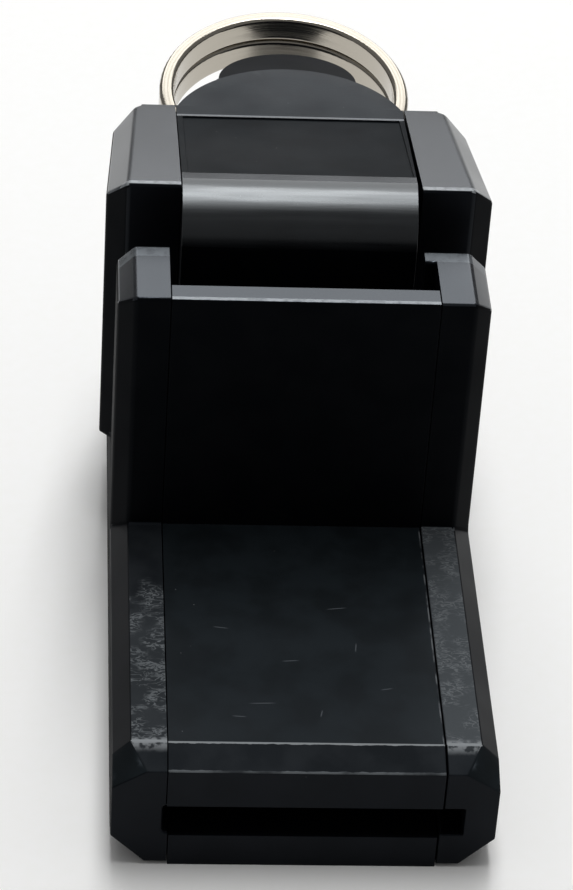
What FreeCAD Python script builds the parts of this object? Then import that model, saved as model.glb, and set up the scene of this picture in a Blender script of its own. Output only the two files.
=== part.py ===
import FreeCAD, Part
import math
import os

# Pealess training whistle, millimetres.
# Y runs from the mouthpiece face to the ring, X across, Z up from the resting face.
# Places along Y are measured from the mouthpiece face and shifted to the origin on writing.

# mouthpiece
mouth_half = 10.5        # half width over the side rails
mouth_top = 7.35         # top of the mouthpiece
lip_depth = 1.8          # the bite lip rises over this length
lip_drop = 0.6           # and starts this much lower at the face
lip_inset = 1.9          # width of the corner bevels at the face
lip_foot = 1.9           # height of the lower corner bevels at the face
lip_head = 1.2           # height of the upper ones
rail_bevel = 1.0         # bevel along the outer edges behind the lip

# windway
slot_bottom = 2.15       # top of the floor plate
slot_height = 2.1
slot_step = 0.2          # the shells' part of the slot starts this much higher
slot_left = 7.7          # the slot sits a little to the right
slot_right = 8.7

# seams between the slices
seam = 0.05              # clearance between two seated mouldings
roof_half = 7.5          # half widths of the centre slice
floor_half = 7.35
chamber_half = 6.85
nose_skew = 0.3          # the chamber block narrows by this on its right, towards the nose
shell_lift = 0.2         # the floor plate stands proud of the side shells

# front wall
wall_front = 20.7
wall_thick = 1.4
wall_top = 23.15
post_rear = 26.0
corner_bevel = 1.0

# rear body
window_gap = 2.8         # between each post and the rear block
block_half = 11.2
rear_half = 10.55        # the rear block narrows to this half width at its back
block_foot = 6.9         # the rear block overhangs the narrower base from this height
tab_depth = 1.1          # rear part of the right post that reaches in to the chamber block
block_bevel = 1.25
rear_bevel = 1.6         # upright bevels at the back
block_top = 25.45        # top edge at the front of the block
block_rear = 41.8
rear_top = 22.75         # top edge at the back of the block
tail_length = 5.3        # sloped underside at the back
tail_height = 6.4
shell_wall = 1.5

# nose and chamber
nose_front = 26.5
nose_radius = 3.0
brow_length = 1.0        # plain facet between the nose and the label face
crease_inset = 1.0       # the label face ends in a crease this far from the back
label_recess = 0.12
label_margin = 0.35
labium = 3.3             # height of the edge that splits the air
chamber_wall = 1.3
labium_wall = 1.6

# ring and its eye
ring_outer = 7.7
ring_radial = 0.9
turn_height = 1.7
turn_gap = 0.1
ring_side_gap = 0.6      # clearance in front of the ring
ring_rest_gap = 0.3      # clearance over the sill
ring_tilt = 9.5          # the ring leans up towards the back at rest
ring_drop = 2.1          # top of the ring below the roof's top, at the ring's middle
ring_round = 0.25
jog_angle = 24.0
jog_start = 230.0
roof_thick = 1.1
eye_depth = 5.0          # tunnel length along Y
eye_set = 2.6            # the tunnel starts this far inside the block
roof_reach = 4.7         # roof beyond the block
stud_half = 4.2
stud_reach = 7.5
stud_drop = 0.75
roof_bevel = 1.3
bevel_drop = 0.15
sill_thick = 2.0
sill_half = 8.4
sill_reach = 7.0
sill_round = 3.0
rear_gap = 0.1           # sill behind the shells

# derived places
block_front = post_rear + window_gap
flat_end = block_rear - tail_length
origin_y = flat_end / 2
slot_top = slot_bottom + slot_height
tunnel_top = rear_top - roof_thick
ring_height = 2 * turn_height + turn_gap
ring_inner = ring_outer - ring_radial
eye_front = block_rear - eye_set
eye_rear = eye_front + eye_depth
crown_y = nose_front + nose_radius
crease_y = block_rear - crease_inset
ring_y = eye_front + ring_side_gap + ring_outer
ring_mid = rear_top - ring_drop - ring_height / 2
tilt = math.tan(math.radians(ring_tilt))
past = 1.0               # how far cutting tools run past a face
aligned = 0.9            # direction cosine above which an edge counts as parallel to an axis

v = FreeCAD.Vector


def box(x0, x1, y0, y1, z0, z1):
    return Part.makeBox(x1 - x0, y1 - y0, z1 - z0, v(x0, y0, z0))


def across(points, x0, x1):
    """Outline in Y and Z, extruded along X."""
    wire = Part.makePolygon([v(x0, y, z) for y, z in points + points[:1]])
    return Part.Face(wire).extrude(v(x1 - x0, 0, 0))


def along(section0, y0, section1, y1):
    """Straight loft between two outlines in X and Z."""
    wires = []
    for section, y in ((section0, y0), (section1, y1)):
        wires.append(Part.makePolygon([v(x, y, z) for x, z in section + section[:1]]))
    return Part.makeLoft(wires, True, True)


def upright(points, z0, z1):
    """Outline in X and Y, extruded along Z."""
    wire = Part.makePolygon([v(x, y, z0) for x, y in points + points[:1]])
    return Part.Face(wire).extrude(v(0, 0, z1 - z0))


def top_at(y):
    """Height of the sloping top of the rear body."""
    return block_top + (rear_top - block_top) * (y - block_front) / (block_rear - block_front)


def half_at(y):
    """Half width of the narrowing rear block."""
    return block_half + (rear_half - block_half) * (y - block_front) / (block_rear - block_front)


def face_at(y):
    """Height of the label face, between the nose and the crease."""
    return block_top + (rear_top - block_top) * (y - crown_y) / (crease_y - crown_y)


def sill_at(y):
    """Height of the sill, which lies parallel to the ring's underside."""
    return ring_mid - ring_height / 2 - ring_rest_gap + (y - ring_y) * tilt


def rail_section(half, inset, foot, top, head):
    """Half section of the mouthpiece, with bevelled outer corners."""
    return [(0, shell_lift), (half - inset, shell_lift), (half, shell_lift + foot),
            (half, top - head), (half - inset, top), (0, top)]


def mouth_envelope(end):
    """One side of the mouthpiece: the bite lip, then the straight rails."""
    face = rail_section(mouth_half, lip_inset, lip_foot, mouth_top - lip_drop, lip_head)
    rail = rail_section(mouth_half, rail_bevel, rail_bevel, mouth_top, rail_bevel)
    return along(face, 0, rail, lip_depth).fuse(along(rail, lip_depth, rail, end))


def post_envelope():
    """Upright at the side of the front wall, down to the resting face."""
    plan = [(0, wall_front), (mouth_half - corner_bevel, wall_front),
            (mouth_half, wall_front + corner_bevel), (mouth_half, post_rear), (0, post_rear)]
    post = upright(plan, mouth_top - rail_bevel, wall_top)
    edge = [(mouth_half - corner_bevel, wall_top), (mouth_half + past, wall_top - corner_bevel - past),
            (mouth_half + past, wall_top + past), (mouth_half - corner_bevel, wall_top + past)]
    return post.cut(along(edge, wall_front - past, edge, post_rear + past))


def base_envelope():
    """Lower body under the post and the rear block, as wide as the mouthpiece."""
    outline = [(post_rear - past, shell_lift), (flat_end, shell_lift), (block_rear, tail_height),
               (block_rear, mouth_top), (post_rear - past, mouth_top)]
    foot = [(mouth_half - rail_bevel, shell_lift), (mouth_half + past, shell_lift + rail_bevel + past),
            (mouth_half + past, 0), (mouth_half - rail_bevel, 0)]
    return across(outline, 0, mouth_half).cut(along(foot, 0, foot, block_rear + past))


def block_envelope():
    """Rear block with its sloping top, narrowing sides and bevelled corners."""
    outline = [(block_front, block_foot), (block_rear, block_foot),
               (block_rear, rear_top), (block_front, block_top)]
    bevel_y = block_front + block_bevel
    plan = [(0, block_front), (half_at(bevel_y) - block_bevel, block_front), (half_at(bevel_y), bevel_y),
            (rear_half, block_rear), (0, block_rear)]
    body = across(outline, 0, block_half).common(upright(plan, block_foot, block_top))
    ends = []
    for y in (block_front - past, block_rear + past):
        top = top_at(y)
        inner = half_at(y) - block_bevel
        outer = half_at(y) + past
        ends.append([(inner, top), (outer, top - block_bevel - past),
                     (outer, top + past), (inner, top + past)])
    return body.cut(along(ends[0], block_front - past, ends[1], block_rear + past))


def rear_corner():
    """Cut that bevels the upright rear corner of base and block together."""
    inner = rear_half - rear_bevel
    outer = block_half + past
    return upright([(inner, block_rear), (outer, block_rear - (outer - inner)),
                    (outer, block_rear + past), (inner, block_rear + past)], 0, block_top + past)


def side_shell(slot_half, tab):
    """Right-hand slice: rail, post and rear block, with its own windway and chamber."""
    shell = mouth_envelope(post_rear).fuse([post_envelope(), base_envelope(), block_envelope()])
    shell = shell.cut(rear_corner()).removeSplitter()
    for half, y0, y1, z0, z1 in (
            (roof_half, -past, post_rear - tab, slot_top, block_top),
            (chamber_half, -past, post_rear, slot_top, block_top),
            (floor_half, -past, post_rear, 0, slot_top),
            (floor_half, post_rear, flat_end, 0, slot_bottom),
            (chamber_half, post_rear, block_rear + past, slot_bottom, block_top),
            (chamber_half, flat_end, block_rear + past, 0, slot_bottom)):
        shell = shell.cut(box(-past, half + seam, y0, y1, z0, z1 + past))
    slot_foot = slot_bottom + slot_step
    shell = shell.cut(box(0, slot_half, -past, block_front, slot_foot, slot_top))
    shell = shell.cut(box(0, slot_half, post_rear, block_front, slot_foot, mouth_top + past))
    inner_front = block_front + shell_wall
    inner_rear = block_rear - shell_wall
    chamber = [(block_front - past, slot_foot), (block_front - past, labium), (block_front, labium),
               (inner_front, labium + shell_wall), (inner_front, top_at(inner_front) - shell_wall),
               (inner_rear, top_at(inner_rear) - shell_wall), (inner_rear, tail_height + shell_wall),
               (flat_end - shell_wall, slot_foot)]
    return shell.cut(across(chamber, 0, mouth_half - shell_wall))


def mirrored(shape):
    return shape.mirror(v(0, 0, 0), v(1, 0, 0))


def mouthpiece_roof():
    """Top of the windway, turned up into the front wall."""
    return across([(0, slot_top), (0, mouth_top - lip_drop), (lip_depth, mouth_top), (wall_front, mouth_top),
                   (wall_front, wall_top), (wall_front + wall_thick, wall_top),
                   (wall_front + wall_thick, slot_top)], -roof_half, roof_half)


def mouthpiece_floor():
    """Floor plate of the windway and the centre chamber, with two guide ribs."""
    plate = box(-floor_half, floor_half, 0, flat_end, 0, slot_bottom)
    rib_front = 3 * lip_depth
    rib_end = wall_front + wall_thick
    rib_half = chamber_half - chamber_wall
    for side in (-1, 1):
        centre = side * (rib_half + chamber_wall / 2)
        plate = plate.fuse(box(centre - chamber_wall / 2, centre + chamber_wall / 2,
                               rib_front, rib_end, slot_bottom, slot_top - seam))
    return plate.removeSplitter()


def chamber_profile():
    """Side outline of the chamber block, from the labium round the nose to the tail."""
    front_low = v(0, nose_front, slot_bottom + seam)
    front_high = v(0, nose_front, block_top - nose_radius)
    bend = math.sqrt(0.5) * nose_radius
    middle = v(0, crown_y - bend, block_top - nose_radius + bend)
    crown = v(0, crown_y, block_top)
    crease = v(0, crease_y, rear_top)
    rear_high = v(0, block_rear, rear_top)
    rear_low = v(0, block_rear, tail_height)
    tail = v(0, flat_end + seam, seam)
    step = v(0, flat_end + seam, slot_bottom + seam)
    edges = [Part.makeLine(front_low, front_high),
             Part.Arc(front_high, middle, crown).toShape()]
    corners = [crown, crease, rear_high, rear_low, tail, step, front_low]
    for a, b in zip(corners, corners[1:]):
        edges.append(Part.makeLine(a, b))
    return Part.Face(Part.Wire(edges))


def label_pocket():
    """Shallow recess of the bare label face."""
    start = crown_y + brow_length
    end = crease_y - label_margin
    half = chamber_half - label_margin
    return across([(start, face_at(start) - label_recess), (end, face_at(end) - label_recess),
                   (end, face_at(end) + past), (start, face_at(start) + past)], -half, half)


def eye_lug():
    """Roof, stud and sill that hold the ring."""
    radius = (chamber_half ** 2 + roof_reach ** 2) / (2 * roof_reach)
    centre = block_rear + roof_reach - radius
    lower = Part.makeCylinder(radius, roof_thick - bevel_drop, v(0, centre, tunnel_top))
    upper = Part.makeCone(radius, radius - roof_bevel, bevel_drop, v(0, centre, rear_top - bevel_drop))
    reach = box(-chamber_half, chamber_half, block_rear - past, block_rear + roof_reach,
                tunnel_top, rear_top)
    roof = lower.fuse(upper).common(reach)
    base = sill_at(block_rear) - sill_thick
    stud_end = block_rear + stud_reach
    stud = Part.makeCylinder(stud_half, rear_top - base, v(0, stud_end - stud_half, base))
    shoulder = block_rear + roof_reach - roof_bevel
    slope = [(shoulder, rear_top - bevel_drop), (stud_end, rear_top - stud_drop), (stud_end, base),
             (eye_rear, base), (eye_rear, rear_top - bevel_drop)]
    stud = stud.common(across(slope, -stud_half, stud_half))
    sill_front = block_rear + rear_gap
    sill_end = block_rear + sill_reach
    sill = across([(sill_front, base), (sill_end, base), (sill_end, sill_at(sill_end)),
                   (sill_front, sill_at(sill_front))], -sill_half, sill_half)
    corners = [e for e in sill.Edges if abs(e.tangentAt(e.FirstParameter).z) > aligned
               and e.CenterOfMass.y > sill_end - rear_gap]
    sill = sill.makeFillet(sill_round, corners)
    neck_front = block_rear - past
    neck = across([(neck_front, base), (sill_front, base), (sill_front, sill_at(sill_front)),
                   (neck_front, sill_at(neck_front))], -chamber_half, chamber_half)
    return roof.fuse([stud, sill, neck])


def chamber_block():
    """Centre of the rear body: nose, chamber, label face and the eye of the ring."""
    profile = chamber_profile()
    profile.translate(v(-chamber_half, 0, 0))
    block = profile.extrude(v(2 * chamber_half, 0, 0))
    skew = [(chamber_half - nose_skew, nose_front - past), (chamber_half + past, nose_front - past),
            (chamber_half + past, block_rear), (chamber_half, block_rear)]
    block = block.cut(upright(skew, 0, block_top + past))
    inner_rear = eye_front - chamber_wall
    inner_top = block_top - 2 * chamber_wall
    hollow = [(nose_front - past, slot_bottom), (nose_front - past, labium), (nose_front, labium),
              (nose_front + labium_wall, labium + labium_wall),
              (nose_front + labium_wall, block_top - nose_radius - chamber_wall),
              (crown_y + labium_wall, inner_top),
              (inner_rear, face_at(inner_rear) - 2 * chamber_wall),
              (inner_rear, slot_bottom + 2 * chamber_wall), (flat_end - chamber_wall, slot_bottom)]
    inner = chamber_half - chamber_wall
    block = block.cut(across(hollow, -inner, inner))
    block = block.cut(label_pocket())
    block = block.fuse(eye_lug())
    eye_half = math.sqrt(ring_outer ** 2 - (ring_y - block_rear) ** 2) + ring_side_gap
    tunnel = [(eye_front, sill_at(eye_front)), (eye_rear, sill_at(eye_rear)),
              (eye_rear, tunnel_top), (eye_front, tunnel_top)]
    block = block.cut(across(tunnel, -eye_half, eye_half))
    return block.removeSplitter()


def wire_section(z):
    """Rounded section of one turn, lying in the X and Z plane."""
    bar = Part.makeBox(ring_radial, past, turn_height, v(ring_inner, 0, z))
    edges = [e for e in bar.Edges if abs(e.tangentAt(e.FirstParameter).y) > aligned]
    bar = bar.makeFillet(ring_round, edges)
    return min(bar.Faces, key=lambda face: face.CenterOfMass.y)


def split_ring():
    """One wire wound twice, stepping from the lower to the upper turn."""
    low = -ring_height / 2
    high = low + turn_height + turn_gap
    spin = (v(0, 0, 0), v(0, 0, 1))
    turns = [wire_section(z).revolve(*spin, 360 - jog_angle) for z in (low, high)]
    sections = []
    for share in (0, 0.25, 0.5, 0.75, 1):
        rise = (1 - math.cos(math.pi * share)) / 2
        section = wire_section(low + rise * (high - low)).OuterWire
        section.rotate(*spin, jog_angle * (share - 1))
        sections.append(section)
    ring = turns[0].fuse([Part.makeLoft(sections, True, False), turns[1]])
    ring.rotate(*spin, jog_start)
    ring.rotate(v(0, 0, 0), v(1, 0, 0), ring_tilt)
    ring.translate(v(0, ring_y, ring_mid))
    return ring


def write(name, shape):
    shape.translate(v(0, -origin_y, 0))
    shape.exportStep("parts/" + name + ".step")
    print(name, len(shape.Solids), round(shape.Volume, 1), shape.BoundBox)


os.makedirs("parts", exist_ok=True)
write("mouthpiece_roof", mouthpiece_roof())
write("mouthpiece_floor", mouthpiece_floor())
write("chamber_block", chamber_block())
write("right_shell", side_shell(slot_right, tab_depth))
write("left_shell", mirrored(side_shell(slot_left, 0)))
write("split_ring", split_ring())
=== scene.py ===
import bpy
import math
from mathutils import Matrix, Vector


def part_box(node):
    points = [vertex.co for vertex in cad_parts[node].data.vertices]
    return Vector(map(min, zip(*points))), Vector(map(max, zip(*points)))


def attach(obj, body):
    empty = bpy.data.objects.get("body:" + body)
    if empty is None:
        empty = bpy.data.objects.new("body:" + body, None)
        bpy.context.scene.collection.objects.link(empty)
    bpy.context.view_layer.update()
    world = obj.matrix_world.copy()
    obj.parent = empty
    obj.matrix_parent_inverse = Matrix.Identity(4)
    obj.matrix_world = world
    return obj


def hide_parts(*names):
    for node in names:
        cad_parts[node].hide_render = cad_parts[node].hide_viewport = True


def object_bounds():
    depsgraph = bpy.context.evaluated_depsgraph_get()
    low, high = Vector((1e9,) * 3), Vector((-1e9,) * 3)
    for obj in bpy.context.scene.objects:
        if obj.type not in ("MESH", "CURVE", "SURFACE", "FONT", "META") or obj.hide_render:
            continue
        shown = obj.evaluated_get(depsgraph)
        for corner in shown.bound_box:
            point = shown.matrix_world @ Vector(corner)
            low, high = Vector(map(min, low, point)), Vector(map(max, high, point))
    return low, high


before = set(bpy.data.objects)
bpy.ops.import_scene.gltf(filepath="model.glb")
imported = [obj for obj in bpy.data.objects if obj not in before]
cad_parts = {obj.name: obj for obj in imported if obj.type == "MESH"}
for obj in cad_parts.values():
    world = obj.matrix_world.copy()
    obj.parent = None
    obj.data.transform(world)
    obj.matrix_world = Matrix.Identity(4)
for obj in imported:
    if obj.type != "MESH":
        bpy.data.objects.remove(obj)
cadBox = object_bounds()
mm = 0.001
faceY = cadBox[0][1]    # plane of the mouthpiece face, from which lengths are measured back
print("frame loaded:", sorted(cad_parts))


def deselectAll():
    for item in bpy.context.selected_objects:
        item.select_set(False)


def linearColour(hexColour):
    parts = [int(hexColour[i:i + 2], 16) / 255 for i in (1, 3, 5)]
    return tuple(p / 12.92 if p <= 0.04045 else ((p + 0.055) / 1.055) ** 2.4 for p in parts) + (1,)


cameraSettings = {
    "target": (-0.6 * mm, 2.62 * mm, 13.08 * mm),
    "distance": 207 * mm,
    "elevation": 36.8,   # degrees above the floor
    "turn": 4.9,         # degrees round towards the left flank
    "roll": 3.95,
    "lens": 146.5,       # on a sensor 36 mm tall
}


def placeCamera(s):
    elevation, turn = math.radians(s["elevation"]), math.radians(s["turn"])
    ahead = Vector((math.cos(elevation) * math.sin(turn),
                    math.cos(elevation) * math.cos(turn), -math.sin(elevation)))
    data = bpy.data.cameras.new("viewCamera")
    data.sensor_fit = "VERTICAL"
    data.sensor_height = 36
    data.lens = s["lens"]
    data.clip_start = 0.01
    data.clip_end = 10
    camera = bpy.data.objects.new("viewCamera", data)
    bpy.context.scene.collection.objects.link(camera)
    spin = ahead.to_track_quat("-Z", "Y").to_matrix() @ Matrix.Rotation(math.radians(s["roll"]), 3, "Z")
    camera.matrix_world = Matrix.Translation(Vector(s["target"]) - ahead * s["distance"]) @ spin.to_4x4()
    bpy.context.scene.camera = camera


placeCamera(cameraSettings)
print("camera placed")


def addNode(tree, kind, settings=None, links=None, output=None):
    node = tree.nodes.new("ShaderNode" + kind)
    for name, value in (settings or {}).items():
        if isinstance(name, int) or name in node.inputs:
            node.inputs[name].default_value = value
        else:
            setattr(node, name, value)
    for name, source in (links or {}).items():
        tree.links.new(source, node.inputs[name])
    return node if output is None else node.outputs[output]


softStep = {"interpolation_type": "SMOOTHSTEP"}    # Map Range, sockets 1 and 2 from, 3 and 4 to


def startMaterial(name):
    material = bpy.data.materials.new(name)
    material.use_nodes = True
    tree = material.node_tree
    return material, tree, tree.nodes["Principled BSDF"], addNode(tree, "TexCoord", output="Object")


def layOver(tree, shader, amount, colour):
    # a second colour over what the surface has so far
    over = addNode(tree, "Mix", {"data_type": "RGBA", 7: linearColour(colour)},
                   {0: amount, 6: shader.inputs["Base Color"].links[0].from_socket}, 2)
    tree.links.new(over, shader.inputs["Base Color"])


plasticSettings = {
    "ior": 1.53,
    "sink": 7.0,          # mm between shallow sink marks
    "stretch": 1,         # below 1 the skin is drawn out across the whistle
    "sheen": "#dfeeff",   # carbon black leaves a cool cast in the gloss
    "skin": 0.16,         # mm, skin of the mould; real grain is finer, drawn coarser to show
    "skinDepth": 0.008,   # mm
    "cloud": 2.2,         # mm, patches of handling grease
    "dustGap": 1.1,       # mm between specks
    "dustSize": 0.035,    # share of that distance
    "dust": "#8d9093",
}
plasticFinishes = {
    # where hands rub it the ABS is glossy, a soft mirror with sink marks
    "polishedAbs": {"base": "#08090c", "patch": "#0d0e11", "roughness": (0.2, 0.27), "specular": 0.56,
                    "grain": 0.12, "specks": 0.3},
    # the round nose shines most, through fine scratches that run across it and draw the light out
    "rubbedAbs": {"base": "#0a0b0e", "patch": "#111316", "roughness": (0.25, 0.38), "specular": 0.76,
                  "grain": 0.3, "specks": 0.4, "sink": 0.5, "stretch": 0.05, "sheen": "#f2f8fc"},
    # the upright faces keep the satin of the mould and stay nearly black
    "mouldedAbs": {"base": "#06070a", "patch": "#0a0b0f", "roughness": (0.36, 0.46), "specular": 0.1,
                   "grain": 0.2, "specks": 0.2},
    # the flanks and the front of the wall are left as the mould made them, matt, and their colour and gloss
    # are turned down as painted shade
    "paintedShadeFlankAbs": {"base": "#040507", "patch": "#07080a", "roughness": (0.6, 0.7), "specular": 0.04,
                 "grain": 0.3, "specks": 0.2},
    # the field for a label comes from an etched mould: dull and dark
    "etchedAbs": {"base": "#070a0d", "patch": "#0e1215", "roughness": (0.62, 0.7), "specular": 0.09,
                  "grain": 0.4, "specks": 0.5},
    # the plate over the ring is scuffed by it to a dull grey
    "scuffedAbs": {"base": "#101316", "patch": "#181c1f", "roughness": (0.5, 0.6), "specular": 0.2,
                   "grain": 0.5, "specks": 0.8},
    # the stud that the ring hangs on lies in the ring's shade, painted in as a darker and duller copy of the
    # plate
    "paintedShadeStudAbs": {"base": "#060709", "patch": "#0b0c0f", "roughness": (0.55, 0.62), "specular": 0.06,
                  "grain": 0.3, "specks": 0.3},
    # the bite face is dulled by lips and cloth to an even blue-grey satin
    "handledAbs": {"base": "#0f1315", "patch": "#161b1e", "roughness": (0.48, 0.56), "specular": 0.12,
                   "grain": 0.35, "specks": 0.7},
    # the rails and the lip are bruised by teeth, which turns ABS pale and rough
    "bittenAbs": {"base": "#14171a", "patch": "#1e2124", "roughness": (0.66, 0.78), "specular": 0.12,
                  "grain": 0.5, "specks": 0.5},
}


def makePlastic(name, s):
    material, tree, shader, place = startMaterial(name)
    drawn = addNode(tree, "Mapping", {"Scale": (s["stretch"], 1, 1)}, {"Vector": place}, 0)
    sink = addNode(tree, "TexNoise", {"Scale": 1 / (s["sink"] * mm), "Detail": 2},
                   {"Vector": drawn}, "Fac")
    cloud = addNode(tree, "TexNoise", {"Scale": 1 / (s["cloud"] * mm), "Detail": 4},
                    {"Vector": place}, "Fac")
    grain = addNode(tree, "TexNoise", {"Scale": 1 / (s["skin"] * mm), "Detail": 3},
                    {"Vector": drawn}, "Fac")
    low, high = s["roughness"]
    rough = addNode(tree, "MapRange", softStep | {1: 0.3, 2: 0.7, 3: low, 4: high}, {0: sink}, 0)
    patches = addNode(tree, "MapRange", softStep | {1: 0.35, 2: 0.65}, {0: cloud}, 0)
    colour = addNode(tree, "Mix", {"data_type": "RGBA", 6: linearColour(s["base"]),
                                   7: linearColour(s["patch"])}, {0: patches}, 2)
    bump = addNode(tree, "Bump", {"Strength": s["grain"], "Distance": s["skinDepth"] * mm},
                   {"Height": grain}, "Normal")
    shader.inputs["IOR"].default_value = s["ior"]
    shader.inputs["Specular IOR Level"].default_value = s["specular"]
    shader.inputs["Specular Tint"].default_value = linearColour(s["sheen"])
    tree.links.new(colour, shader.inputs["Base Color"])
    tree.links.new(rough, shader.inputs["Roughness"])
    tree.links.new(bump, shader.inputs["Normal"])
    # pale specks of dust, most of them smaller than the eye picks out
    cells = addNode(tree, "TexVoronoi", {"Scale": 1 / (s["dustGap"] * mm)}, {"Vector": place})
    speck = addNode(tree, "MapRange", softStep | {1: s["dustSize"], 2: 0}, {0: cells.outputs["Distance"]}, 0)
    pick = addNode(tree, "SeparateColor", None, {"Color": cells.outputs["Color"]}, "Red")
    rare = addNode(tree, "MapRange", softStep | {1: 1 - s["specks"], 2: 1 - s["specks"] / 2}, {0: pick}, 0)
    dust = addNode(tree, "Math", {"operation": "MULTIPLY"}, {0: speck, 1: rare}, 0)
    layOver(tree, shader, dust, s["dust"])
    return material, tree, shader, place


wearAndHighlightSettings = {
    "mark": 0.27,            # mm between the curls that teeth leave
    "stretch": 0.5,          # the curls run across the rails
    "field": 1.6,            # mm, size of a bruised patch
    "leftStart": 13.6 * mm,  # the left rail is bruised from here forward
    "rightStart": 24 * mm,   # and all of the right one
    "haze": "#44484b",
    "curl": "#63676a",
    "pale": "#8b8f92",       # ABS rubbed through at a corner, and painted highlight along the fold of the lip
    "fold": 1.8 * mm,        # where the lip meets the rails
    "foldWidth": 0.1 * mm,
    "rubWidth": 0.12 * mm,   # rubbed lower edge of the lip
    "jitter": 0.16 * mm,
    "rag": 0.45,             # mm, size of the teeth in the ragged lines
    "railInside": 7.5 * mm,
}


def addToothMarksAndFoldHighlight(tree, shader, place, s):
    x, y, _ = addNode(tree, "SeparateXYZ", None, {"Vector": place}).outputs
    back = addNode(tree, "Math", {"operation": "SUBTRACT", 1: faceY}, {0: y}, 0)
    stretched = addNode(tree, "Mapping", {"Scale": (s["stretch"], 1, 1)}, {"Vector": place}, 0)
    curls = addNode(tree, "TexNoise", {"Scale": 1 / (s["mark"] * mm), "Detail": 2.5, "Distortion": 0.8},
                    {"Vector": stretched}, "Fac")
    offset = addNode(tree, "Math", {"operation": "SUBTRACT", 1: 0.5}, {0: curls}, 0)
    ridge = addNode(tree, "Math", {"operation": "ABSOLUTE"}, {0: offset}, 0)
    line = addNode(tree, "MapRange", softStep | {1: 0.07, 2: 0.005}, {0: ridge}, 0)
    field = addNode(tree, "TexNoise", {"Scale": 1 / (s["field"] * mm), "Detail": 3},
                    {"Vector": place}, "Fac")
    patch = addNode(tree, "MapRange", softStep | {1: 0.4, 2: 0.6}, {0: field}, 0)
    # the right side took far more of it, and the left rail is clean behind the teeth
    side = addNode(tree, "MapRange", softStep | {1: -2 * mm, 2: 4 * mm, 3: 0.3, 4: 1}, {0: x}, 0)
    start = addNode(tree, "MapRange", softStep | {1: -4 * mm, 2: 4 * mm, 3: s["leftStart"],
                                                  4: s["rightStart"]}, {0: x}, 0)
    ahead = addNode(tree, "Math", {"operation": "SUBTRACT"}, {0: start, 1: back}, 0)
    uneven = addNode(tree, "Math", {"operation": "MULTIPLY_ADD", 1: 9 * mm}, {0: field, 2: ahead}, 0)
    forward = addNode(tree, "MapRange", softStep | {1: 3 * mm, 2: 6 * mm}, {0: uneven}, 0)
    behindLip = addNode(tree, "Math", {"operation": "GREATER_THAN", 1: s["fold"]}, {0: back}, 0)
    zone = addNode(tree, "Math", {"operation": "MULTIPLY"}, {0: forward, 1: behindLip}, 0)
    hazeAmount = addNode(tree, "Math", {"operation": "MULTIPLY"}, {0: side, 1: zone}, 0)
    layOver(tree, shader, hazeAmount, s["haze"])
    marks = addNode(tree, "Math", {"operation": "MULTIPLY"}, {0: line, 1: patch}, 0)
    curlAmount = addNode(tree, "Math", {"operation": "MULTIPLY"}, {0: marks, 1: zone}, 0)
    layOver(tree, shader, curlAmount, s["curl"])
    # ragged pale lines: along the fold of the lip, worn and also a painted highlight of the fold, and along
    # its lower edge, worn
    ragged = addNode(tree, "TexNoise", {"Scale": 1 / (s["rag"] * mm), "Detail": 4}, {"Vector": place}, "Fac")
    shift = addNode(tree, "Math", {"operation": "MULTIPLY_ADD", 1: s["jitter"], 2: -s["jitter"] / 2},
                    {0: ragged}, 0)
    shaken = addNode(tree, "Math", {"operation": "ADD"}, {0: back, 1: shift}, 0)
    # the pale line on the fold is partly wear and partly painted highlight
    fold = addNode(tree, "Math", {"operation": "COMPARE", 1: s["fold"], 2: s["foldWidth"]}, {0: shaken}, 0)
    layOver(tree, shader, fold, s["pale"])
    rub = addNode(tree, "Math", {"operation": "LESS_THAN", 1: s["rubWidth"]}, {0: shaken}, 0)
    strength = addNode(tree, "MapRange", softStep | {1: 0.35, 2: 0.6, 3: 0.15, 4: 0.9}, {0: field}, 0)
    between = addNode(tree, "Math", {"operation": "COMPARE", 1: 0, 2: s["railInside"]}, {0: x}, 0)
    worn = addNode(tree, "Math", {"operation": "MULTIPLY"}, {0: strength, 1: between}, 0)
    rubbed = addNode(tree, "Math", {"operation": "MULTIPLY"}, {0: rub, 1: worn}, 0)
    layOver(tree, shader, rubbed, s["curl"])
    # and pale bruises where the fold runs out over the rails
    onRail = addNode(tree, "Math", {"operation": "SUBTRACT", 0: 1}, {1: between}, 0)
    before = addNode(tree, "MapRange", softStep | {1: 1.1 * mm, 2: 1.7 * mm}, {0: shaken}, 0)
    behind = addNode(tree, "MapRange", softStep | {1: 2.3 * mm, 2: 1.9 * mm}, {0: shaken}, 0)
    around = addNode(tree, "Math", {"operation": "MULTIPLY"}, {0: before, 1: behind}, 0)
    bruise = addNode(tree, "Math", {"operation": "MULTIPLY"}, {0: around, 1: onRail}, 0)
    blotch = addNode(tree, "MapRange", softStep | {1: 0.4, 2: 0.54, 3: 0.1, 4: 0.8}, {0: ragged}, 0)
    blotched = addNode(tree, "Math", {"operation": "MULTIPLY"}, {0: bruise, 1: blotch}, 0)
    layOver(tree, shader, blotched, s["pale"])


edgeWearAndHighlights = {
    "block": (29.05 * mm, 0.3 * mm),   # middle and half width, back from the face
    "bar": (20.86 * mm, 0.13 * mm),
    "postRear": (25.5 * mm, 0.55 * mm),
    "groove": (24.9 * mm, 0.05 * mm),
    "barHalf": 7.5 * mm,
    "pale": "#8b8f92",
    "dull": "#4c5053",
    "dark": "#020203",
    "jitter": 0.12 * mm,
    "rag": 0.5,    # mm, size of the teeth in a ragged line
}


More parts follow.
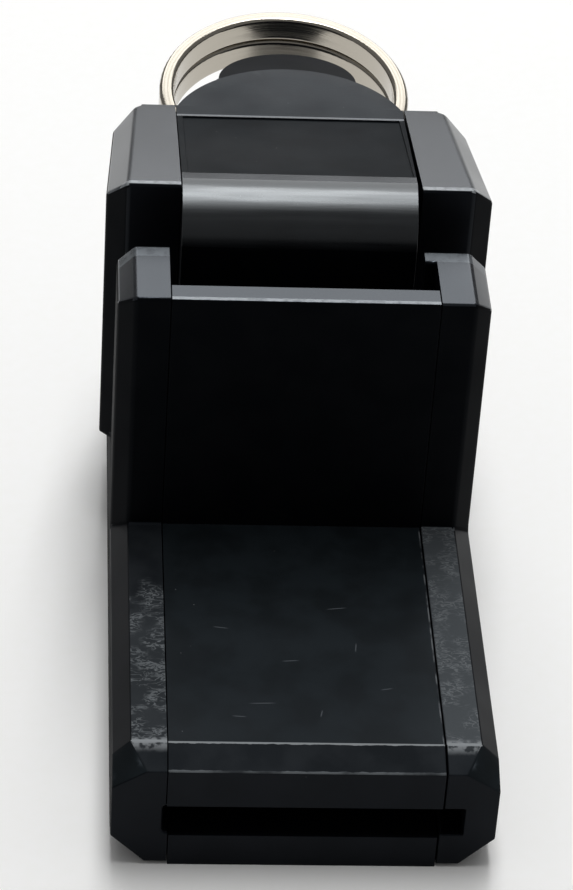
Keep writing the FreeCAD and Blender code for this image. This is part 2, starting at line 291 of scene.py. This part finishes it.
def addRubbedEdgesAndHighlights(tree, shader, place, s):
    # the top edges of the blocks and of the bar are painted pale, partly rubbed wear and partly painted
    # highlight, and the rear of the posts is dull
    x, y, _ = addNode(tree, "SeparateXYZ", None, {"Vector": place}).outputs
    back = addNode(tree, "Math", {"operation": "SUBTRACT", 1: faceY}, {0: y}, 0)
    ragged = addNode(tree, "TexNoise", {"Scale": 1 / (s["rag"] * mm), "Detail": 4}, {"Vector": place}, "Fac")
    shift = addNode(tree, "Math", {"operation": "MULTIPLY_ADD", 1: s["jitter"], 2: -s["jitter"] / 2},
                    {0: ragged}, 0)
    shaken = addNode(tree, "Math", {"operation": "ADD"}, {0: back, 1: shift}, 0)
    worn = addNode(tree, "MapRange", softStep | {1: 0.3, 2: 0.6, 3: 0.45, 4: 1}, {0: ragged}, 0)
    for part, colour in (("postRear", "dull"), ("block", "pale"), ("bar", "pale")):
        middle, half = s[part]
        band = addNode(tree, "Math", {"operation": "COMPARE", 1: middle, 2: half}, {0: shaken}, 0)
        amount = addNode(tree, "Math", {"operation": "MULTIPLY"}, {0: band, 1: worn}, 0)
        if part == "bar":
            inside = addNode(tree, "Math", {"operation": "COMPARE", 1: 0, 2: s["barHalf"]}, {0: x}, 0)
            amount = addNode(tree, "Math", {"operation": "MULTIPLY"}, {0: amount, 1: inside}, 0)
        layOver(tree, shader, amount, s[colour])
    middle, half = s["groove"]
    groove = addNode(tree, "Math", {"operation": "COMPARE", 1: middle, 2: half}, {0: back}, 0)
    layOver(tree, shader, groove, s["dark"])


scratchSettings = {
    "rubbedEdge": (7.42 * mm, 0.05 * mm),   # beside the open seam, middle and half width
    "rubbed": "#6d7174",
    "rag": 1.2,
    "width": 0.045,    # mm, half width of a scratch
    "colour": "#4a4e52",
    # middle across and back, turn in degrees, length, all else in mm
    "scratches": ((-2.3, 5.0, 2, 1.7), (-3.6, 3.9, -4, 0.9), (-0.6, 8.6, 5, 1.1), (0.9, 4.2, 78, 0.7),
                  (3.1, 9.8, 84, 0.9), (4.6, 6.3, 12, 0.8), (2.2, 13.2, 8, 1.3), (-4.4, 11.4, -9, 1.0)),
}


def addScratches(tree, shader, place, s):
    x = addNode(tree, "SeparateXYZ", None, {"Vector": place}, "X")
    middle, half = s["rubbedEdge"]
    beside = addNode(tree, "Math", {"operation": "COMPARE", 1: middle, 2: half}, {0: x}, 0)
    ragged = addNode(tree, "TexNoise", {"Scale": 1 / (s["rag"] * mm), "Detail": 3}, {"Vector": place}, "Fac")
    partly = addNode(tree, "MapRange", softStep | {1: 0.42, 2: 0.62, 3: 0, 4: 0.7}, {0: ragged}, 0)
    rubbed = addNode(tree, "Math", {"operation": "MULTIPLY"}, {0: beside, 1: partly}, 0)
    layOver(tree, shader, rubbed, s["rubbed"])
    total = None
    for across, back, turn, length in s["scratches"]:
        middle = (across * mm, faceY + back * mm, 0)
        local = addNode(tree, "Mapping", {"vector_type": "TEXTURE", "Location": middle,
                                          "Rotation": (0, 0, math.radians(turn)),
                                          "Scale": (length * mm / 2, s["width"] * mm, 1)},
                        {"Vector": place}, 0)
        size = addNode(tree, "VectorMath", {"operation": "ABSOLUTE"}, {0: local}, 0)
        u, v, _ = addNode(tree, "SeparateXYZ", None, {"Vector": size}).outputs
        reach = addNode(tree, "Math", {"operation": "MAXIMUM"}, {0: u, 1: v}, 0)
        line = addNode(tree, "MapRange", softStep | {1: 1, 2: 0.3}, {0: reach}, 0)
        if total is not None:
            line = addNode(tree, "Math", {"operation": "MAXIMUM"}, {0: total, 1: line}, 0)
        total = line
    layOver(tree, shader, total, s["colour"])


ringSettings = {
    "colour": "#b4aea3",
    "roughness": (0.08, 0.2),
    "line": 0.12,         # mm between the marks of the rollers, which run along the wire
    "lineDepth": 0.01,    # mm
    "tilt": 9.5,          # degrees, the ring leans up towards the back
}


def makeNickelPlate(s):
    # bright nickel plate on spring steel: a warm mirror, drawn out along the wire by the rollers
    material, tree, shader, place = startMaterial("nickelPlate")
    middle = [(low + high) / 2 for low, high in zip(*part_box("split_ring"))]
    centre = addNode(tree, "Mapping", {"vector_type": "TEXTURE", "Location": middle,
                                       "Rotation": (math.radians(s["tilt"]), 0, 0)}, {"Vector": place}, 0)
    x, y, z = addNode(tree, "SeparateXYZ", None, {"Vector": centre}).outputs
    flat = addNode(tree, "CombineXYZ", None, {"X": x, "Y": y}, 0)
    radius = addNode(tree, "VectorMath", {"operation": "LENGTH"}, {0: flat}, "Value")
    section = addNode(tree, "CombineXYZ", None, {"X": radius, "Y": z}, 0)
    lines = addNode(tree, "TexNoise", {"Scale": 1 / (s["line"] * mm), "Detail": 2},
                    {"Vector": section}, "Fac")
    low, high = s["roughness"]
    rough = addNode(tree, "MapRange", softStep | {1: 0.3, 2: 0.7, 3: low, 4: high}, {0: lines}, 0)
    bump = addNode(tree, "Bump", {"Strength": 0.12, "Distance": s["lineDepth"] * mm},
                   {"Height": lines}, "Normal")
    shader.inputs["Base Color"].default_value = linearColour(s["colour"])
    shader.inputs["Metallic"].default_value = 1
    tree.links.new(rough, shader.inputs["Roughness"])
    tree.links.new(bump, shader.inputs["Normal"])
    return material


finishes = {}
for name, s in plasticFinishes.items():
    finishes[name], tree, shader, place = makePlastic(name, plasticSettings | s)
    if name == "polishedAbs":
        # pale bands on the top edges: part wear, part painted highlight
        addRubbedEdgesAndHighlights(tree, shader, place, edgeWearAndHighlights)
    if name == "bittenAbs":
        addToothMarksAndFoldHighlight(tree, shader, place, wearAndHighlightSettings)
    if name == "handledAbs":
        addScratches(tree, shader, place, scratchSettings)
print("materials made:", sorted(finishes))

edgeSettings = {
    "merge": 0.002 * mm,   # corners this close are one
    "flat": 0.5,           # degrees, faces that lie flatter than this become one
    "tiny": 0.1 * mm,      # edges shorter than this are closed up at the corners that need it
    "widest": 0.2 * mm,    # radius of a plain corner of the mould, others are a share of it
    "sharpest": 15,        # degrees, flatter joins stay as they are
    "segments": 3,
    "seam": 0.12,          # crisp edge along a seam
    "openSeam": 0.5,       # the seam beside the right rail has opened up a little
    "shallow": 0.4,        # joins flatter than this angle
    "shallowAngle": 35,
    "lip": 0.4,            # the small facets at the corners of the lip
    "flank": 0.4,          # the short edge where the step of the flank runs out
    "smooth": 40,          # degrees, flatter joins are shaded as one surface
    "ringSmooth": 50,
}
zones = {
    # mm back from the face
    "lip": 1.8,               # the bite lip slopes up to here
    "lipCorner": 2,
    "lipFacets": 2.2,
    "mouthpiece": 20.6,
    "seamEnds": (20, 21),     # the roof's seam turns up into the wall here
    "wall": (15, 22),
    "nose": (26, 29.6),
    "block": 28,
    "label": (30.5, 40.45),
    "crease": 40.9,
    "flankStep": 39.9,
    "sill": 41.5,
    "sillGap": 42.4,
    "plate": 41.9,
    "stud": 46.6,
    # mm up from the floor
    "bitePanel": 6.3,
    "flankStepHigh": (6.8, 7),
    "wallFoot": 7.5,
    "sillHigh": (13, 18),
    "top": 20,
    "labelHigh": 22,
    # mm out from the middle
    "centre": 6.8,
    "chamber": 7,
    "rail": 7.4,
    "corner": 7.6,
    "facets": 7.7,
    "flank": 8,
    "plateOut": 8.5,
    "flankStepOut": 10,
}


def placeOf(point):
    # mm back from the face, up from the floor and out from the middle
    return (point.y - faceY) / mm, point.z / mm, abs(point.x) / mm


def mergedCopy(node, name, s):
    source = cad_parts[node]
    piece = source.copy()
    piece.data = source.data.copy()
    piece.name = name
    piece.data.name = name
    piece.parent = None
    bpy.context.scene.collection.objects.link(piece)
    deselectAll()
    piece.select_set(True)
    bpy.context.view_layer.objects.active = piece
    bpy.ops.object.mode_set(mode="EDIT")
    bpy.ops.mesh.select_all(action="SELECT")
    bpy.ops.mesh.remove_doubles(threshold=s["merge"])
    bpy.ops.mesh.select_mode(type="FACE")
    bpy.ops.object.mode_set(mode="OBJECT")
    for face in piece.data.polygons:
        # the twisted facets at the corners of the lip keep their triangles
        back, high, out = placeOf(face.center)
        twisted = abs(face.normal.x) > 0.1 and abs(face.normal.z) > 0.1
        face.select = not (back < zones["lip"] and out > zones["corner"] and twisted)
    bpy.ops.object.mode_set(mode="EDIT")
    bpy.ops.mesh.dissolve_limited(angle_limit=math.radians(s["flat"]))
    # a corner that ends in a tiny edge is closed up, so that it rounds cleanly
    bpy.ops.mesh.select_mode(type="VERT")
    bpy.ops.mesh.select_all(action="DESELECT")
    bpy.ops.object.mode_set(mode="OBJECT")
    for corner in piece.data.vertices:
        back, high, out = placeOf(corner.co)
        onBlock = back > zones["block"] and high > zones["top"]
        corner.select = out > zones["corner"] and (back < zones["lipCorner"] or onBlock)
    bpy.ops.object.mode_set(mode="EDIT")
    bpy.ops.mesh.remove_doubles(threshold=s["tiny"])
    bpy.ops.object.mode_set(mode="OBJECT")
    return piece


def edgeAngles(mesh):
    # angle between the two faces at each edge
    sides = {}
    for face in mesh.polygons:
        for key in face.edge_keys:
            sides.setdefault(key, []).append(face.normal)
    return [math.degrees(sides[edge.key][0].angle(sides[edge.key][1], 0)) if len(sides[edge.key]) == 2 else 0
            for edge in mesh.edges]


# sides of the centre slice: roof, floor and chamber block, which narrows a little towards the nose
seamPlanes = [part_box("mouthpiece_roof")[1][0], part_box("mouthpiece_floor")[1][0], 6.85 * mm]
seamReach = (0.35 * mm, 0.08 * mm)    # how far in and out an edge still belongs to a seam


def edgeShare(ends, angle, s):
    places = [placeOf(end) for end in ends]
    for plane in seamPlanes:
        if all(plane - seamReach[0] < abs(end.x) < plane + seamReach[1] for end in ends):
            onMouthpiece = all(place[0] < end for place, end in zip(places, zones["seamEnds"]))
            return s["openSeam"] if ends[0].x > 0 and onMouthpiece else s["seam"]
    # the sill under the ring, and the narrow gap between it and the shells
    low, high = zones["sillHigh"]
    if all(back > zones["sill"] and (back < zones["sillGap"] or low < up < high) for back, up, out in places):
        return s["seam"]
    low, high = zones["flankStepHigh"]
    if any(back > zones["flankStep"] and low < up < high and out > zones["flankStepOut"]
           for back, up, out in places):
        return s["flank"]
    if any(back < zones["lipFacets"] and out > zones["facets"] for back, up, out in places):
        return s["lip"]
    # small steps where the stud meets the plate over the ring
    if all(back > zones["plate"] and up > zones["top"] and out < zones["plateOut"]
           for back, up, out in places):
        return s["seam"]
    return s["shallow"] if angle < s["shallowAngle"] else 1


def weighNormals(piece):
    weigh = piece.modifiers.new("flats", "WEIGHTED_NORMAL")
    weigh.keep_sharp = True
    bpy.ops.object.modifier_apply(modifier="flats")


def roundCorners(piece, s):
    mesh = piece.data
    weights = mesh.attributes.new("bevel_weight_edge", "FLOAT", "EDGE")
    for edge, angle in zip(mesh.edges, edgeAngles(mesh)):
        if angle > s["sharpest"]:
            ends = [mesh.vertices[i].co for i in edge.vertices]
            weights.data[edge.index].value = edgeShare(ends, angle, s)
    bevel = piece.modifiers.new("corners", "BEVEL")
    bevel.width = s["widest"]
    bevel.segments = s["segments"]
    bevel.limit_method = "WEIGHT"
    bevel.use_clamp_overlap = False
    bevel.miter_outer = "MITER_ARC"
    bpy.ops.object.modifier_apply(modifier="corners")
    bpy.ops.object.shade_smooth_by_angle(angle=math.radians(s["smooth"]))
    weighNormals(piece)


def finishOf(centre, normal):
    # what the surface has gone through, by its place on the whistle
    back, high, out = placeOf(centre)
    onMouthpiece, central = back < zones["mouthpiece"], out < zones["centre"]
    if onMouthpiece and high > zones["bitePanel"] and normal.z > 0.8:
        return "bittenAbs" if out > zones["rail"] or back < zones["lip"] else "handledAbs"
    # the flanks and the front of the wall take the darker copy: painted shade
    if abs(normal.x) > 0.6 and normal.z < 0.3 and not onMouthpiece and out > zones["flank"]:
        return "paintedShadeFlankAbs"
    if normal.y < -0.9 and zones["wall"][0] < back < zones["wall"][1] and high > zones["wallFoot"]:
        return "paintedShadeFlankAbs"
    if back < zones["lipCorner"] and out > zones["corner"] and normal.z > 0.3:
        return "handledAbs"
    if high < zones["top"] or normal.z < 0.1:
        return "mouldedAbs"
    if central and back > zones["crease"]:
        # the stud under the ring takes the darker copy: painted shade
        return "paintedShadeStudAbs" if normal.y > 0.02 and back > zones["stud"] else "scuffedAbs"
    if central and zones["label"][0] < back < zones["label"][1]:
        return "etchedAbs"
    if central and zones["nose"][0] < back < zones["nose"][1]:
        return "rubbedAbs"
    return "polishedAbs" if normal.z > 0.35 else "mouldedAbs"


def splitLabelFrame(piece, places):
    # cuts across the top of the chamber block, so that the sides of the label field can be dull too
    for back in places:
        for face in piece.data.polygons:
            _, high, out = placeOf(face.center)
            face.select = face.normal.z > 0.9 and high > zones["labelHigh"] and out < zones["chamber"]
        bpy.ops.object.mode_set(mode="EDIT")
        bpy.ops.mesh.select_mode(type="FACE")
        bpy.ops.mesh.bisect(plane_co=(0, faceY + back * mm, 0), plane_no=(0, 1, 0))
        bpy.ops.object.mode_set(mode="OBJECT")


def addMoulding(node, s):
    piece = mergedCopy(node, node + "_moulding", s)
    if node == "chamber_block":
        splitLabelFrame(piece, zones["label"])
    names = list(finishes)
    piece.data.materials.clear()
    for name in names:
        piece.data.materials.append(finishes[name])
    for face in piece.data.polygons:
        face.material_index = names.index(finishOf(face.center, face.normal))
    roundCorners(piece, s)
    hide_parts(node)
    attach(piece, "whistle")
    deselectAll()


for node in ("mouthpiece_roof", "mouthpiece_floor", "chamber_block", "right_shell", "left_shell"):
    addMoulding(node, edgeSettings)
print("mouldings rounded")

ring = mergedCopy("split_ring", "split_ring_wire", edgeSettings)
bpy.ops.object.shade_smooth_by_angle(angle=math.radians(edgeSettings["ringSmooth"]))
weighNormals(ring)
ring.data.materials.clear()
ring.data.materials.append(makeNickelPlate(ringSettings))
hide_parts("split_ring")
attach(ring, "ring")
deselectAll()
print("ring finished")

lightTarget = Vector((0, 0, 0.01))
lightSettings = {    # metres and watts
    "overhead": {"size": (0.1, 0.34), "place": (0.01, 0.08, 0.42), "power": 1.16},
    "behind": {"size": (0.5, 0.46), "place": (0.03, 0.553, 0.333), "power": 1.66},
}


def addSoftbox(name, s):
    data = bpy.data.lights.new(name, "AREA")
    data.shape = "RECTANGLE"
    data.size, data.size_y = s["size"]
    data.energy = s["power"]
    light = bpy.data.objects.new(name, data)
    bpy.context.scene.collection.objects.link(light)
    towards = lightTarget - Vector(s["place"])
    aim = towards.to_track_quat("-Z", "Y").to_matrix().to_4x4()
    light.matrix_world = Matrix.Translation(s["place"]) @ aim


for name, s in lightSettings.items():
    addSoftbox(name, s)

stageSettings = {
    "size": 3,
    # matt white paper, nearly even
    "colours": ("#fcfcfa", "#ffffff"),
    "fibre": 0.8,      # mm
    "roughness": 0.9,
    "ambient": 0.2,    # strength of the white room
}

bpy.ops.mesh.primitive_plane_add(size=stageSettings["size"], location=(0, 0, 0))
floor = bpy.context.object
floor.name = "paleFloor"
floorPaint, tree, paper, place = startMaterial("palePaper")
fibre = addNode(tree, "TexNoise", {"Scale": 1 / (stageSettings["fibre"] * mm), "Detail": 2},
                {"Vector": place}, "Fac")
plain, bright = [linearColour(colour) for colour in stageSettings["colours"]]
sheet = addNode(tree, "Mix", {"data_type": "RGBA", 6: plain, 7: bright}, {0: fibre}, 2)
tree.links.new(sheet, paper.inputs["Base Color"])
paper.inputs["Roughness"].default_value = stageSettings["roughness"]
floor.data.materials.append(floorPaint)
deselectAll()

world = bpy.data.worlds.new("studio")
bpy.context.scene.world = world
world.use_nodes = True
background = world.node_tree.nodes["Background"]
background.inputs["Color"].default_value = (1, 1, 1, 1)
background.inputs["Strength"].default_value = stageSettings["ambient"]
bpy.context.scene.view_settings.view_transform = "Standard"
print("stage lit")
